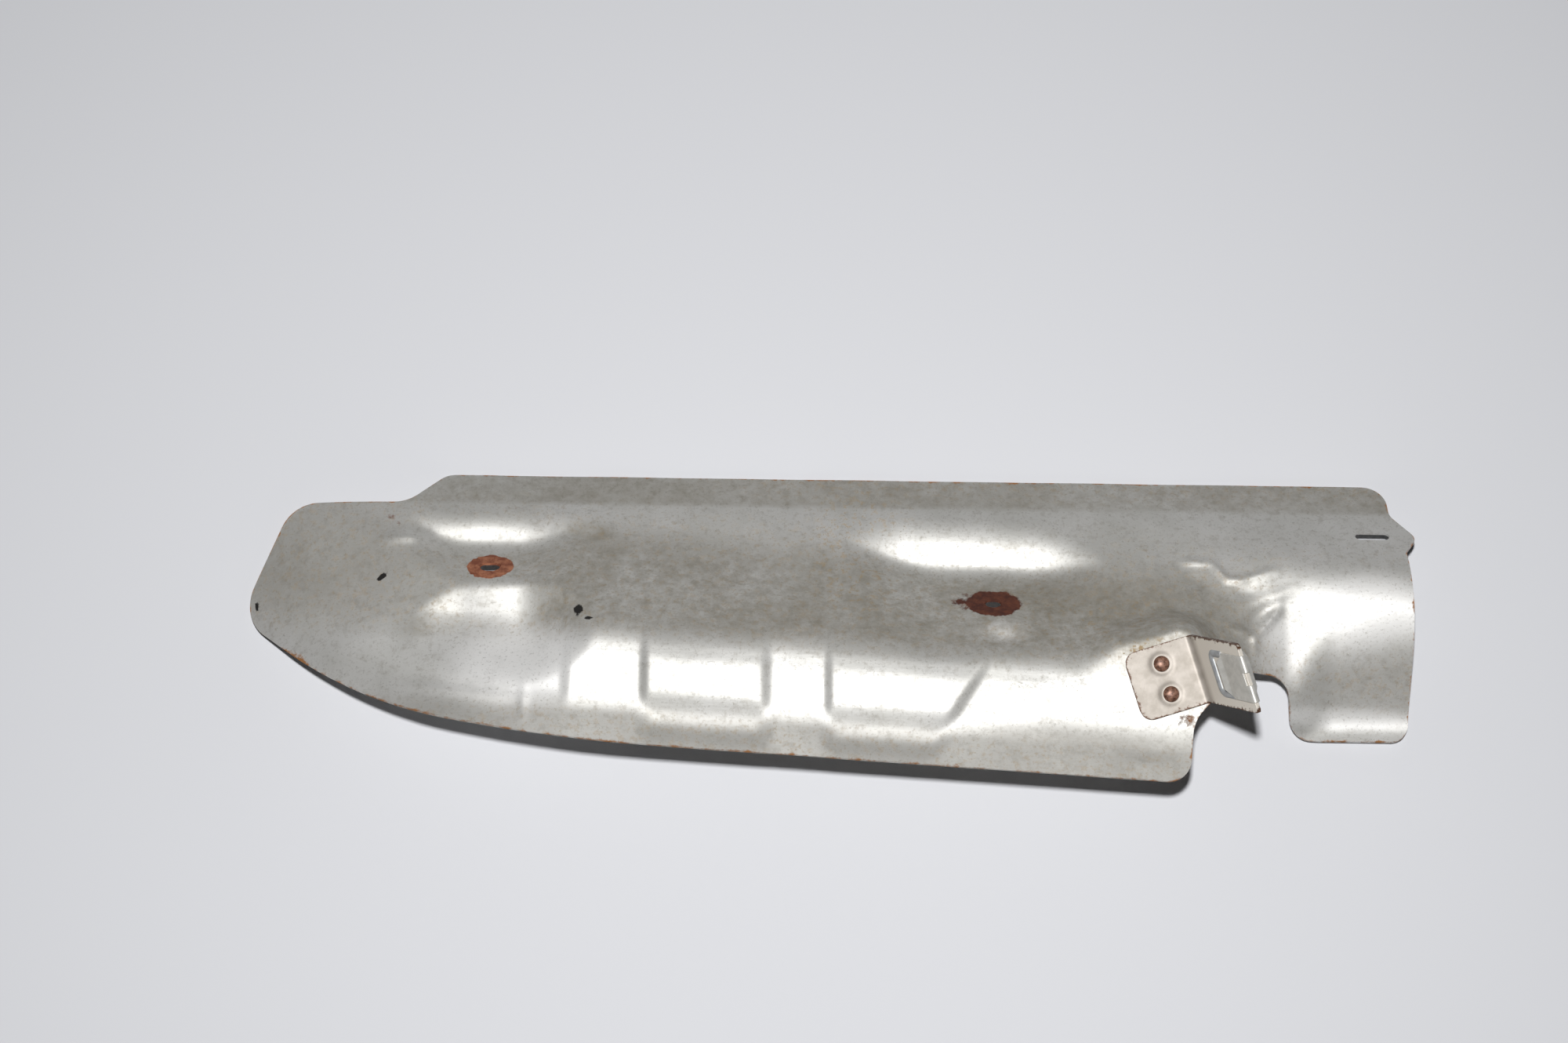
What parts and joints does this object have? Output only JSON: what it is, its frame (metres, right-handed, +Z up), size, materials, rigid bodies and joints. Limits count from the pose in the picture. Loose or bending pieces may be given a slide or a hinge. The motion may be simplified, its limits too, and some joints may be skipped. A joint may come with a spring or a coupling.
{
  "type": "heat shield",
  "caption": "Pressed sheet-steel heat shield for an engine bay, with a half-round tail, bolt seats, an upturned lip and a riveted bracket that carries a spring clip.",
  "frame": {"origin": "middle of the bounding box in plan, on the ground the shield rests on", "axes": "+X along the straight back edge towards the half-round tail, +Y from the upturned lip towards the back edge, +Z up as the shield lies at rest"},
  "size_m": [0.4444, 0.1244, 0.0855],
  "materials": {
    "aluminised_steel": "stained satin",
    "plated_bracket_steel": "dull plated",
    "rusty_rivet_steel": "rusty",
    "zinc_spring_steel": "dull zinc"
  },
  "bodies": {
    "root": {"shield_panel": "aluminised_steel", "bracket": "plated_bracket_steel", "rivets": "rusty_rivet_steel", "spring_clip": "zinc_spring_steel"}
  },
  "joints": []
}
